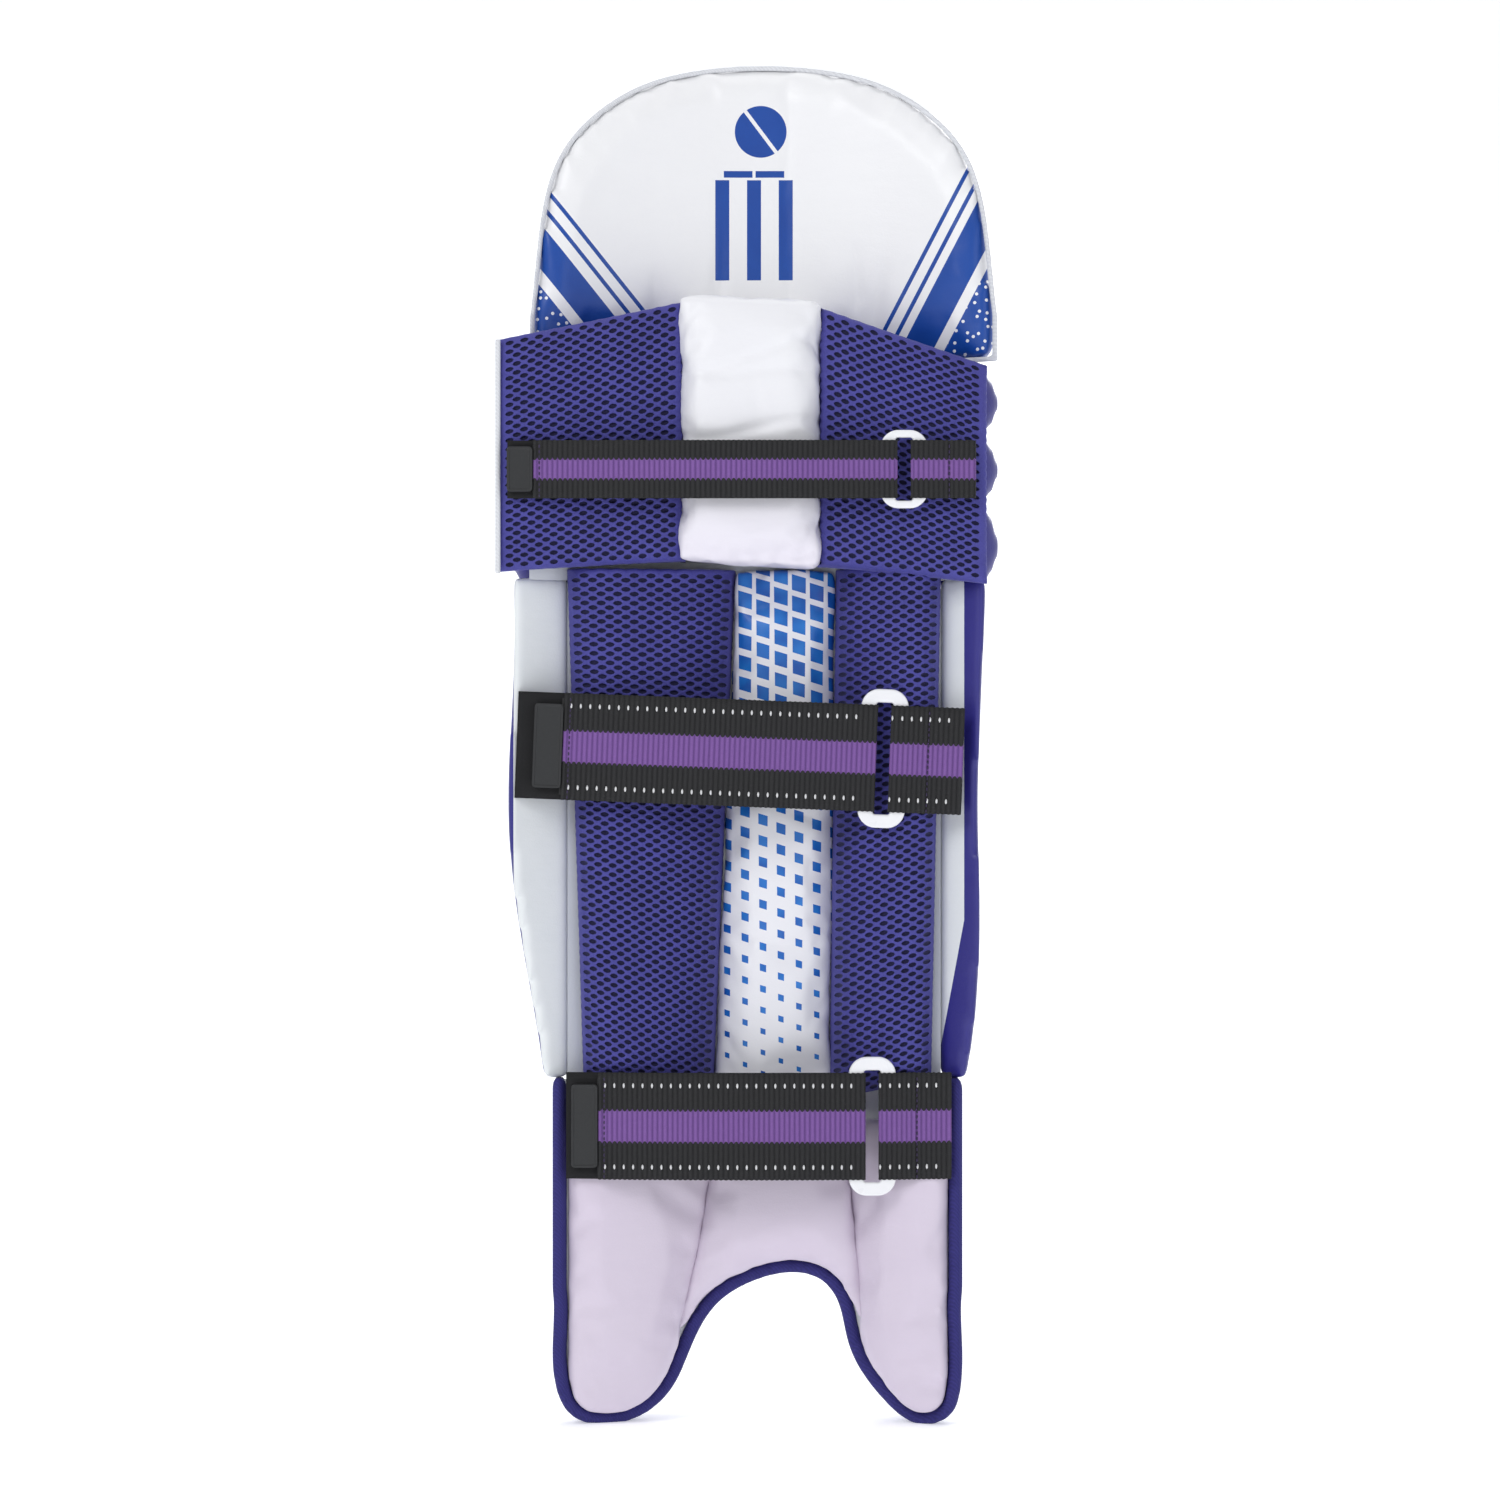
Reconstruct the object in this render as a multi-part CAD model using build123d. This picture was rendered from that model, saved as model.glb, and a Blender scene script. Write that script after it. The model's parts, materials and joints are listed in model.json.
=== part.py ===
"""Cricket batting leg pad, in millimetres, +Z up, the leg side towards -Y and the playing face towards +Y.

The pad wraps the front of a lower leg. Its backing board is a sheet bent round a vertical axis. Seven cane
rolls and three knee rolls stand on the front of it, cushions lie on the leg side, and three webbing straps
with plastic rings close it behind the leg. The top hat above the knee flexes forwards at its seam.

Everything is first made about the vertical axis that the board is bent round, with the middle of the board
at +Y. The last step moves it so that the origin is the middle of the bottom of the whole pad.
"""

from build123d import *
from math import asin, cos, degrees, radians, sin, sqrt
import os

# ---- heights, from the floor up ----
arch_height = 88.5  # top of the instep arch
instep_pad_top = 178.0
wing_bottom = 206.0
shin_top = 497.0  # bottom of the lowest knee roll
knee_roll_heights = {"lower": 50.0, "middle": 41.0, "upper": 39.0}
flex_gap = 3.0  # between the upper knee roll and the top hat
top_hat_height = 181.0

knee_top = shin_top + sum(knee_roll_heights.values())
seam_height = knee_top + flex_gap / 2
top_hat_bottom = knee_top + flex_gap
pad_height = top_hat_bottom + top_hat_height

# ---- widths, left and right of the middle as seen from the leg side ----
ankle_left, ankle_right = 118.0, 122.0
board_left, board_right = 111.0, 111.0  # the board between the wings
wing_left, wing_right = 144.5, 136.5
knee_left, knee_right = 148.0, 147.0  # ends of the knee rolls
knee_bolster_left, knee_bolster_right = 149.0, 137.0
top_hat_left, top_hat_right = 133.0, 144.0
arch_middle = 24.0
arch_left, arch_right = 38.0, 58.0  # flanks of the arch at half its height
toe_left, toe_right = 80.0, 101.0  # lowest points of the two foot lobes

# ---- thicknesses and clearances ----
board_radius = 220.0  # leg-side face of the board
board_thickness = 6.0
lining_thickness = 1.2
canvas_thickness = 1.2
cover_wall = 1.2
touch_gap = 0.2  # between sewn pieces that lie on each other
binding_width = 5.0
piping_radius = 1.7

# ---- front rolls ----
roll_count = 7
roll_width = 29.0
roll_pitch = 30.0
roll_height = 23.0
roll_side = 8.0
cane_radius = 3.0
cane_spacing = 7.5
knee_roll_depth = 27.0
knee_roll_side = 10.0
roll_gap = 0.8

# ---- leg-side cushions ----
bolster_crown = 32.0
bolster_side = 12.0
centre_roll_crown = 16.0
centre_roll_side = 7.0
instep_crown = 17.0
instep_side = 6.0
bolster_top = shin_top + 3
bolster_bottom = 190.0
knee_bolster_bottom = shin_top + 7
knee_bolster_radius = 1400.0
knee_bolster_standoff = 58.0  # its leg-side face from the board, at the middle
seam_left, seam_right = 43.0, 38.0  # seams between the three knee bolster panels

# ---- top hat ----
top_hat_thickness = 24.0
top_hat_piping = 3.0

# ---- straps: webbing, ring and pull tab ----
webbing = 1.3
ring_thickness = 3.0
ring_width = 28.0
ring_slot = 10.0
slot_clearance = 1.5
bar_clearance = 0.3
hook_thickness = 1.6
hook_length = 55.0
tab_length = 15.0
tab_thickness = 3.6
fold_end_angle = 5.0  # how far the tongue's fold reaches round the bar
knee_strap_rise = 68.0  # middle of the strap above the shin's top
upper_strap_drop = 99.0  # and below it
lower_strap_height = 178.0
knee_strap_gap = 12.0  # from the middle of the knee bolster to its strap
upper_strap_gap, lower_strap_gap = 12.9, 10.4  # from the crown of the left cushion to the strap
anchor_stitch = 20.0  # from the ring's bar to the stitched end of the anchor loop

inner = board_radius - lining_thickness - touch_gap  # the cushions' seat
canvas_inner = board_radius + board_thickness
roll_seat = canvas_inner + canvas_thickness + touch_gap
BIG = 2 * pad_height
pieces = {}


def bent(face, inner_radius, outer_radius):
    """The part of a bent sheet that an outline in X and Z covers."""
    height = (Align.CENTER, Align.CENTER, Align.MIN)
    sheet = Cylinder(outer_radius, BIG, align=height) - Cylinder(inner_radius, BIG, align=height)
    return extrude(face, amount=BIG, dir=(0, 1, 0)) & Pos(0, 0, -pad_height / 2) * sheet


def upright(face, bottom, top):
    """A plan outline in X and Y, drawn up from one height to another."""
    return Pos(0, 0, bottom) * extrude(face, amount=top - bottom, dir=(0, 0, 1))


def flat_outline(*corners):
    """A straight-sided outline in X and Z."""
    return make_face(Plane.XZ * Polyline(*corners, close=True))


def polar(x, radius):
    """The plan point on a circle about the board's axis, x to the right of the middle."""
    return (x, sqrt(radius**2 - x**2))


def shifted(points, inset):
    """The points of a lower edge, read from left to right, moved into the outline by inset."""
    moved = []
    for i, (x, z) in enumerate(points):
        before, after = points[max(i - 1, 0)], points[min(i + 1, len(points) - 1)]
        along = Vector(after[0] - before[0], after[1] - before[1]).normalized()
        if i == 0:
            along = Vector(0, -1)
        if i == len(points) - 1:
            along = Vector(0, 1)
        moved.append((x - along.Y * inset, z + along.X * inset))
    return moved


def foot_edge(inset=0.0):
    """The edge round the two foot lobes and the instep arch, from the left side to the right side."""
    points = [
        (-ankle_left, 80),
        (-ankle_left, 45),
        (-ankle_left + 2, 22),
        (-ankle_left + 9, 7),
        (-toe_left, 0),
        (-arch_left - 14, 17),
        (-arch_left, arch_height * 0.52),
        (arch_middle - 45, arch_height - 17),
        (arch_middle - 24, arch_height - 5),
        (arch_middle, arch_height),
        (arch_middle + 18, arch_height - 5),
        (arch_middle + 27, arch_height - 16),
        (arch_right, arch_height * 0.52),
        (toe_right - 23, 14),
        (toe_right, 0),
        (ankle_right - 6, 7),
        (ankle_right - 1, 22),
        (ankle_right, 45),
        (ankle_right, 80),
    ]
    return Spline(*shifted(points, inset))


def lower_outline(inset, top, left, right, step=None):
    """The lobes and ankle, closed at a height; above the step it has the given half widths."""
    edge = foot_edge(inset)
    start, end = edge @ 0, edge @ 1
    if step is None:
        rest = Polyline(end, (end.X, top), (start.X, top), start)
    else:
        corners = [end, (end.X, step), (right, step), (right, top)]
        corners += [(-left, top), (-left, step), (start.X, step)]
        rest = Polyline(*corners, start)
    return make_face(Plane.XZ * (edge + rest))


def roll_face(width, height, side, wall=0.0):
    """A D: flat on its seat, straight sides, round front. wall moves it inside itself."""
    half = width / 2 - wall
    base = Polyline((-half, side), (-half, wall), (half, wall), (half, side))
    return make_face(base + ThreePointArc((half, side), (0, height - wall), (-half, side)))


def cover_and_filling(make):
    """A cover with a wall, and the filling inside it, from one function of the inset."""
    filling = make(cover_wall)
    return make(0.0) - filling, make(cover_wall + touch_gap)


# ---- board, lining and canvas of the shin ----
board_inset = binding_width + touch_gap
knee_half = min(knee_left, knee_right) - 14
board_outline = lower_outline(board_inset, knee_top - 4, board_left, board_right, step=wing_bottom - 2)
knee_band = flat_outline(
    (-knee_half, shin_top + 4), (knee_half, shin_top + 4),
    (knee_half, knee_top - 4), (-knee_half, knee_top - 4),
)
board_outline = board_outline + knee_band
pieces["shin_board"] = bent(board_outline, board_radius, canvas_inner)
pieces["back_lining"] = bent(board_outline, board_radius - lining_thickness, board_radius)
pieces["backing_canvas"] = bent(board_outline, canvas_inner, canvas_inner + canvas_thickness)

# ---- seven cane rolls down the shin ----
shin_rolls = lower_outline(board_inset, shin_top - roll_gap, ankle_left, ankle_right)
rolls_top = shin_top - roll_gap - cover_wall
inside_rolls = lower_outline(board_inset + cover_wall, rolls_top, ankle_left, ankle_right)
inside_space = extrude(inside_rolls, amount=BIG, dir=(0, 1, 0))
roll_space = extrude(shin_rolls, amount=BIG, dir=(0, 1, 0))
cane_rods, waddings = [], []
for i in range(roll_count):
    turn = degrees((i - (roll_count - 1) / 2) * roll_pitch / (roll_seat + roll_side))
    place = Rot(0, 0, -turn) * Pos(0, roll_seat, 0)
    outside = upright(place * roll_face(roll_width, roll_height, roll_side), -1, shin_top) & roll_space
    hollow = upright(place * roll_face(roll_width, roll_height, roll_side, cover_wall), -1, shin_top)
    hollow &= inside_space
    rods = Sketch()
    for k in (-1, 0, 1):
        rods += place * Pos(k * cane_spacing, cover_wall + cane_radius + 1.5) * Circle(cane_radius)
    canes = upright(rods, -1, shin_top) & inside_space
    pieces[f"shin_roll_{i + 1}"] = outside - hollow
    cane_rods += canes.solids()
    waddings += (hollow - canes).solids()
pieces["cane_rods"] = Compound(cane_rods)
pieces["roll_wadding"] = Compound(waddings)


# ---- three knee rolls across the front ----
def knee_roll(bottom, height, wall):
    """A D-shaped roll swept round the board's axis from the left side to the right side."""
    profile = Rot(0, 0, -90) * roll_face(height - roll_gap, knee_roll_depth, knee_roll_side, wall)
    profile = Plane.XZ * Pos(roll_seat, bottom + height / 2, 0) * profile
    reach = roll_seat + knee_roll_depth
    left, right = (degrees(asin((side - wall) / reach)) for side in (knee_left, knee_right))
    roll = revolve(profile, Axis.Z, left + right)
    return Rot(0, 0, 90 - right) * roll


fillings = []
level = shin_top
for name, height in knee_roll_heights.items():
    outside = knee_roll(level, height, 0.0)
    pieces[f"knee_roll_{name}"] = outside - knee_roll(level, height, cover_wall)
    fillings += knee_roll(level, height, cover_wall + touch_gap).solids()
    level += height
pieces["knee_roll_foam"] = Compound(fillings)


# ---- side wings ----
wing_taper = (  # height up the wing as a fraction, and how far each edge lies inside its widest place
    (0.0, 20.5, 11.5), (0.15, 14, 5.5), (0.35, 4.5, 3.5), (0.55, 0, 4.5), (0.75, 2, 3), (1.0, 3, 0)
)


def wing(side, wall):
    """A stiff flap beyond the board's edge, with a rounded outer edge."""
    tip, start = (wing_left, board_left) if side < 0 else (wing_right, board_right)
    root = start + touch_gap + 0.5 + wall
    low, high = wing_bottom + wall, shin_top - roll_gap - wall
    taper = [(part, left if side < 0 else right) for part, left, right in wing_taper]
    outer = [(side * (tip - wall - less), low + part * (high - low)) for part, less in taper]
    rest = Polyline(outer[-1], (side * root, high), (side * root, low), outer[0])
    face = make_face(Plane.XZ * (Spline(*outer) + rest))
    return bent(face, board_radius - 2 + wall, board_radius + 10 - wall)


wing_foams = []
for side, name in ((-1, "left"), (1, "right")):
    pieces[f"wing_{name}"], foam = cover_and_filling(lambda wall, s=side: wing(s, wall))
    wing_foams += foam.solids()
pieces["wing_foams"] = Compound(wing_foams)


# ---- cushions on the leg side ----
def crowned(left, right, crown, side_depth, wall):
    """A plan outline that sits on the lining from x = left to x = right and swells towards the leg."""
    left, right = left + wall, right - wall
    middle = (left + right) / 2
    seat, low, high = inner - wall, inner - side_depth, inner - crown + wall
    return make_face(
        ThreePointArc(polar(left, seat), polar(middle, seat), polar(right, seat))
        + Line(polar(right, seat), polar(right, low))
        + ThreePointArc(polar(right, low), polar(middle, high), polar(left, low))
        + Line(polar(left, low), polar(left, seat))
    )


def rounded_foot(wall):
    """What a cushion's lower end loses, so that it slopes back under the lowest strap."""
    low = bolster_bottom + wall
    slope = [(inner - 12, low), (inner - 72, low + 60), (inner - 72, low - 40), (inner - 12, low - 40)]
    face = make_face(Plane.YZ * Polyline(*slope, close=True))
    return extrude(face, amount=knee_left, both=True)


def shin_cushion(bottom_left, bottom_right, top_left, top_right, crown, side_depth, wall):
    """A long cushion that changes width from its bottom to its top."""
    low, high = bolster_bottom + wall, bolster_top - wall
    outline = flat_outline(
        (bottom_left + wall, low), (bottom_right - wall, low),
        (top_right - wall, high), (top_left + wall, high),
    )
    left, right = min(bottom_left, top_left), max(bottom_right, top_right)
    body = upright(crowned(left, right, crown, side_depth, wall), low, high)
    return (body & extrude(outline, amount=BIG, dir=(0, 1, 0))) - rounded_foot(wall)


cushions = {
    "shin_bolster_left": (-100, -25.5, -110, -12, bolster_crown, bolster_side),
    "centre_roll": (-24.5, 45, -11, 49, centre_roll_crown, centre_roll_side),
    "shin_bolster_right": (46, 104, 50, 110, bolster_crown, bolster_side),
}
cushion_foams = []
for name, sizes in cushions.items():
    pieces[name], foam = cover_and_filling(lambda wall, s=sizes: shin_cushion(*s, wall))
    cushion_foams += foam.solids()
pieces["shin_cushion_foams"] = Compound(cushion_foams)


crown_x = (cushions["shin_bolster_left"][2] + cushions["shin_bolster_left"][3]) / 2
crown_depth = board_radius - polar(crown_x, inner - bolster_crown)[1]


def knee_face(x, depth):
    """The plan point of the knee bolster at x, depth behind its leg-side face."""
    radius = knee_bolster_radius + depth
    return (x, board_radius - knee_bolster_standoff - knee_bolster_radius + sqrt(radius**2 - x**2))


def knee_panel(left, right, corners, wall):
    """One panel of the knee bolster: it fills the hollow of the board and thins towards the board's side."""
    left, right = left + wall, right - wall
    middle = (left + right) / 2
    front, back = wall, knee_bolster_standoff
    plan = make_face(
        ThreePointArc(*(knee_face(x, front) for x in (left, middle, right)))
        + Line(knee_face(right, front), knee_face(right, back))
        + ThreePointArc(*(knee_face(x, back) for x in (right, middle, left)))
        + Line(knee_face(left, back), knee_face(left, front))
    )
    low_left, low_right, high_right, high_left = corners
    outline = flat_outline(
        (left, low_left + wall), (right, low_right + wall),
        (right, high_right - wall), (left, high_left - wall),
    )
    slab = upright(plan, 0, pad_height) & extrude(outline, amount=BIG, dir=(0, 1, 0))
    return slab & Cylinder(inner - wall, BIG)


low = knee_bolster_bottom
knee_panels = {
    "left": (-knee_bolster_left, -seam_left - 0.5, (low + 1, low + 8, low + 162, low + 138)),
    "centre": (-seam_left, seam_right, (low + 10, low + 5, low + 160, low + 162)),
    "right": (seam_right + 0.5, knee_bolster_right, (low + 5, low - 6, low + 123, low + 159)),
}
knee_foams = []
for name, (left, right, corners) in knee_panels.items():
    pieces[f"knee_bolster_{name}"], foam = cover_and_filling(
        lambda wall, a=left, b=right, c=corners: knee_panel(a, b, c, wall)
    )
    knee_foams += foam.solids()
pieces["knee_bolster_foams"] = Compound(knee_foams)

# ---- white piping down both edges of the knee bolster ----
piping = []
clear = piping_radius + touch_gap
for x, top in ((-knee_bolster_left - clear, 138), (knee_bolster_right + clear, 123)):
    foot = Pos(x, knee_face(x, 4)[1], knee_bolster_bottom)
    piping += (foot * Cylinder(piping_radius, top, align=(Align.CENTER, Align.CENTER, Align.MIN))).solids()
pieces["knee_bolster_piping"] = Compound(piping)

# ---- instep pads and the binding round the foot lobes ----
pad_region = lower_outline(binding_width + 3.5, instep_pad_top, ankle_left, ankle_right)
seam_split = 0.4
left_seam = [(-25, instep_pad_top + 5), (-25, 150), (-34, 100), (-44, 62), (-47, 54), (-34, 40), (-34, -20)]
right_seam = [(56, instep_pad_top + 5), (56, 150), (60, 112), (64, 78), (66, 62), (52, 40), (52, -20)]
wide = ankle_right + 50


def seam_region(seam, side, gap):
    """Everything to one side of a seam line, less half a seam."""
    edge = [(x + side * gap, z) for x, z in seam]
    return flat_outline(*edge, (side * wide, -20), (side * wide, instep_pad_top + 5))


instep_faces = {
    "left": pad_region & seam_region(left_seam, -1, seam_split),
    "right": pad_region & seam_region(right_seam, 1, seam_split),
    "centre": pad_region - seam_region(left_seam, -1, -seam_split) - seam_region(right_seam, 1, -seam_split),
}
instep_plans = {"left": (-ankle_left, -25), "centre": (-60, 90), "right": (56, ankle_right)}
for name, (left, right) in instep_plans.items():
    plan = upright(crowned(left, right, instep_crown, instep_side, 0), -1, instep_pad_top)
    pieces[f"instep_pad_{name}"] = plan & extrude(instep_faces[name], amount=BIG, dir=(0, 1, 0))

binding = lower_outline(0, wing_bottom - 2, 0, 0) - lower_outline(binding_width, BIG, 0, 0)
pieces["foot_binding"] = bent(binding, board_radius - 5, roll_seat + 5)


# ---- top hat ----
dome_shape = (  # how far across from the middle, and how far down from the top, as fractions
    (1.0, 0.86), (0.955, 0.54), (0.865, 0.305), (0.68, 0.145), (0.51, 0.067), (0.26, 0.015)
)


def top_hat_outline(inset):
    """A dome with nearly straight sides."""
    middle = 4.0
    low, high = top_hat_bottom + inset, pad_height - inset
    reach_left, reach_right, rise = top_hat_left + middle - inset, top_hat_right - middle - inset, high - low
    left = [(middle - across * reach_left, high - down * rise) for across, down in dome_shape]
    right = [(middle + across * reach_right, high - down * rise) for across, down in dome_shape]
    dome = right + [(middle, high)] + left[::-1]
    rest = Polyline(dome[-1], (dome[-1][0], low), (dome[0][0], low), dome[0])
    return make_face(Plane.XZ * (Spline(*dome) + rest))


bevel_corners = [
    (board_radius + 6, top_hat_bottom - 1),
    (board_radius + 50, top_hat_bottom - 1),
    (board_radius + 50, top_hat_bottom + 30),
]


def bevelled(shape, inset):
    """The top hat's lower front edge is cut back, so that it can flex over the upper knee roll."""
    face = make_face(Plane.YZ * Polyline(*bevel_corners, close=True))
    return shape - Pos(0, -inset, inset) * extrude(face, amount=wide, both=True)


face_radius = board_radius + top_hat_thickness
lining_face = top_hat_outline(top_hat_piping + touch_gap)
pieces["top_hat_lining"] = bent(lining_face, board_radius - lining_thickness, board_radius)
outer_hat = bevelled(bent(lining_face, board_radius + touch_gap, face_radius), 0)
inner_outline = top_hat_outline(top_hat_piping + touch_gap + cover_wall)
inner_hat = bent(inner_outline, board_radius, face_radius - cover_wall)
pieces["top_hat_face"] = outer_hat - bevelled(inner_hat, cover_wall)
hat_core = top_hat_outline(top_hat_piping + cover_wall + 2 * touch_gap)
hat_core = bent(hat_core, board_radius + 2 * touch_gap, face_radius - cover_wall - touch_gap)
pieces["top_hat_foam"] = bevelled(hat_core, cover_wall + touch_gap)
piping_face = top_hat_outline(0) - top_hat_outline(top_hat_piping)
pieces["top_hat_piping"] = bent(piping_face, board_radius + 1, board_radius + 5)


# ---- straps ----
class Strap:
    """Where one strap lies. Its layers are arcs in plan that bulge slightly towards the leg."""

    def __init__(self, name, height, width, ring_end, left, right, bar, tab, standoff, radius, middle, tilt):
        self.name, self.height, self.width, self.ring_end = name, height, width, ring_end
        self.left, self.right, self.bar, self.tab = left, right, bar, tab
        self.standoff, self.radius, self.middle, self.tilt = standoff, radius, middle, tilt

    def point(self, x, depth):
        """The plan point at x along the strap, depth towards the leg from the base's board-side face."""
        slope = asin((x - self.middle) / self.radius)
        reach = self.radius + depth
        centre = board_radius - self.standoff + self.radius
        return (self.middle + reach * sin(slope), centre - reach * cos(slope))

    def strip(self, left, right, near, far, width):
        """A length of webbing or patch between two depths."""
        middle = (left + right) / 2
        plan = make_face(
            ThreePointArc(*(self.point(x, near) for x in (left, middle, right)))
            + Line(self.point(right, near), self.point(right, far))
            + ThreePointArc(*(self.point(x, far) for x in (right, middle, left)))
            + Line(self.point(left, far), self.point(left, near))
        )
        return upright(plan, self.height - width / 2, self.height + width / 2)

    def tilted(self, shape):
        """The strap's slope across the pad."""
        pivot = Pos(0, 0, self.height)
        return pivot * Rot(0, self.tilt, 0) * pivot.inverse() * shape


bar_half = ring_thickness / 2
bar_depth = webbing + bar_clearance + bar_half  # the ring's middle plane
fold_inner, fold_outer = bar_half + bar_clearance, bar_half + bar_clearance + webbing


def in_ring_frame(strap, x):
    """A frame on the ring's middle plane: local x along the strap, local y towards the leg."""
    slope = degrees(asin((x - strap.middle) / strap.radius))
    px, py = strap.point(x, bar_depth)
    return Pos(px, py, 0) * Rot(0, 0, slope)


def bar_axis(strap):
    """The frame on the slot-side edge of the ring's left bar, which the tongue turns about."""
    slope = degrees(asin((strap.bar - strap.middle) / strap.radius))
    return in_ring_frame(strap, strap.bar), slope


def ring_of(strap):
    """A flat plate with rounded ends and one slot that both webbings pass through."""
    length = strap.width + 2 * slot_clearance + 2 * strap.ring_end
    plate = RectangleRounded(ring_width, length, ring_width * 0.38)
    slot = RectangleRounded(ring_slot, strap.width + 2 * slot_clearance, bar_half)
    middle = strap.bar + ring_slot / 2 + bar_half
    frame = in_ring_frame(strap, middle) * Pos(0, 0, strap.height) * Rot(90, 0, 0)
    ring = extrude(plate - slot, amount=ring_thickness / 2, both=True)
    edges = ring.faces().filter_by(Axis.X).sort_by(lambda f: abs(f.center().X))[:2]
    long_edges = [e for f in edges for e in f.edges().filter_by(Axis.Y)]
    ring = fillet(long_edges, bar_half - 0.05)
    outer = [e for f in ring.faces().filter_by(Axis.Z) for e in f.outer_wire().edges()]
    ring = fillet(outer, 1.2)
    return frame * ring, middle


def tongue_of(strap):
    """The outer webbing, with the fold that hooks round the left bar. Returns webbing, patch and tab."""
    near = bar_depth + fold_inner
    end = strap.tab + tab_length
    web = strap.strip(end, strap.bar, near, near + webbing, strap.width)
    frame, slope = bar_axis(strap)
    sector = make_face(
        Line((0, -fold_outer), (0, -fold_inner))
        + CenterArc((0, 0), fold_inner, -90, 90 + fold_end_angle)
        + Line(
            (fold_inner * cos(radians(fold_end_angle)), fold_inner * sin(radians(fold_end_angle))),
            (fold_outer * cos(radians(fold_end_angle)), fold_outer * sin(radians(fold_end_angle))),
        )
        + CenterArc((0, 0), fold_outer, -90, 90 + fold_end_angle)
    )
    fold = upright(frame * sector, strap.height - strap.width / 2, strap.height + strap.width / 2)
    patch = strap.strip(end, end + hook_length, near - hook_thickness, near, strap.width - 6)
    tab_near = near + webbing / 2 - tab_thickness / 2
    tab = strap.strip(strap.tab, end, tab_near, tab_near + tab_thickness, strap.width * 0.78)
    tab = fillet(tab.edges().filter_by(Axis.Z).sort_by(Axis.X)[:2], 1.2)
    # The tongue leans in until the hook patch all but touches the base layer.
    lean = degrees(asin((near - hook_thickness - webbing - bar_clearance) / (strap.bar - strap.tab)))
    swing = frame * Rot(0, 0, -lean) * frame.inverse()
    return swing * (web + fold), swing * patch, swing * tab


def anchor_of(strap, ring_middle):
    """The webbing loop round the ring's right bar, stitched to itself and run out to the pad's edge."""
    edge = ring_middle + ring_slot / 2 + bar_half
    frame = in_ring_frame(strap, edge)
    stitch = anchor_stitch
    flat = ring_width / 2 - ring_slot / 2 - bar_half
    outside = Circle(fold_outer) + make_face(
        Polyline(
            (0, -fold_outer), (flat, -fold_outer), (stitch, -webbing), (stitch, webbing), (flat, fold_outer),
            (0, fold_outer), close=True,
        )
    )
    pocket = Circle(fold_inner) + make_face(
        Polyline(
            (0, -fold_inner), (flat + 1, -fold_inner), (stitch - 1, -0.2),
            (stitch - 1, 0.2), (flat + 1, fold_inner),
            (0, fold_inner), close=True,
        )
    )
    reach = strap.right - edge
    corners = [(stitch, -webbing), (reach, -webbing), (reach, webbing), (stitch, webbing)]
    tail = make_face(Polyline(*corners, close=True))
    plan = frame * (outside + tail - pocket)
    return upright(plan, strap.height - strap.width / 2, strap.height + strap.width / 2)


upper_height = shin_top - upper_strap_drop
knee_plane = knee_bolster_standoff + knee_strap_gap
upper_plane, lower_plane = crown_depth + upper_strap_gap, crown_depth + lower_strap_gap
straps = [
    Strap("knee", shin_top + knee_strap_rise, 34.0, 4.5, -147, 130, 81.5, -145, knee_plane, 4000, -7, 0),
    Strap("upper_calf", upper_height, 63.0, 8.0, -141, 123, 69.5, -129, upper_plane, 2500, -60, 2.2),
    Strap("lower_calf", lower_strap_height, 63.0, 8.0, -113, 116, 63, -107, lower_plane, 700, 0, 0),
]
hinges = {}
for strap in straps:
    ring, ring_middle = ring_of(strap)
    tongue, patch, tab = tongue_of(strap)
    base = strap.strip(strap.left, strap.bar - fold_outer - 0.6, 0, webbing, strap.width)
    anchor = anchor_of(strap, ring_middle)
    made = {"base": base, "anchor": anchor, "ring": ring}
    made |= {"tongue": tongue, "hook_patch": patch, "pull_tab": tab}
    for part, shape in made.items():
        pieces[f"{strap.name}_strap_{part}"] = strap.tilted(shape)
    bar_x, bar_y = strap.point(strap.bar, bar_depth)
    end_x, end_y = strap.point(strap.right, bar_depth)
    along = (sin(radians(strap.tilt)), 0, cos(radians(strap.tilt)))
    hinges[f"{strap.name}_tongue_peel"] = ((bar_x, bar_y, strap.height), strap.tilt, along)
    hinges[f"{strap.name}_anchor_swing"] = ((end_x, end_y, strap.height), strap.tilt, along)

# ---- to the row frame: origin at the middle of the bottom ----
everything = Compound([solid for shape in pieces.values() for solid in shape.solids()])
box = everything.bounding_box()
home = Pos(-(box.min.X + box.max.X) / 2, -(box.min.Y + box.max.Y) / 2, -box.min.Z)
os.makedirs("parts", exist_ok=True)
for name, shape in pieces.items():
    export_step(home * shape, f"parts/{name}.step")

shift = home.position
print("shift", tuple(round(v, 4) for v in shift), "size", box.size)
print("knee_flex", round(board_radius + 4 + shift.Y, 4), round(seam_height + shift.Z, 4))
for name, (point, tilt, along) in hinges.items():
    x, y, z = point
    turned = (x * cos(radians(tilt)), y, z - x * sin(radians(tilt)))
    moved = tuple(round(a + b, 4) for a, b in zip(turned, shift))
    print("hinge", name, moved, tuple(round(v, 6) for v in along))
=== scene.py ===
import json
import math

import bmesh
import bpy
from mathutils import Matrix, Vector
from mathutils.bvhtree import BVHTree


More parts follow.
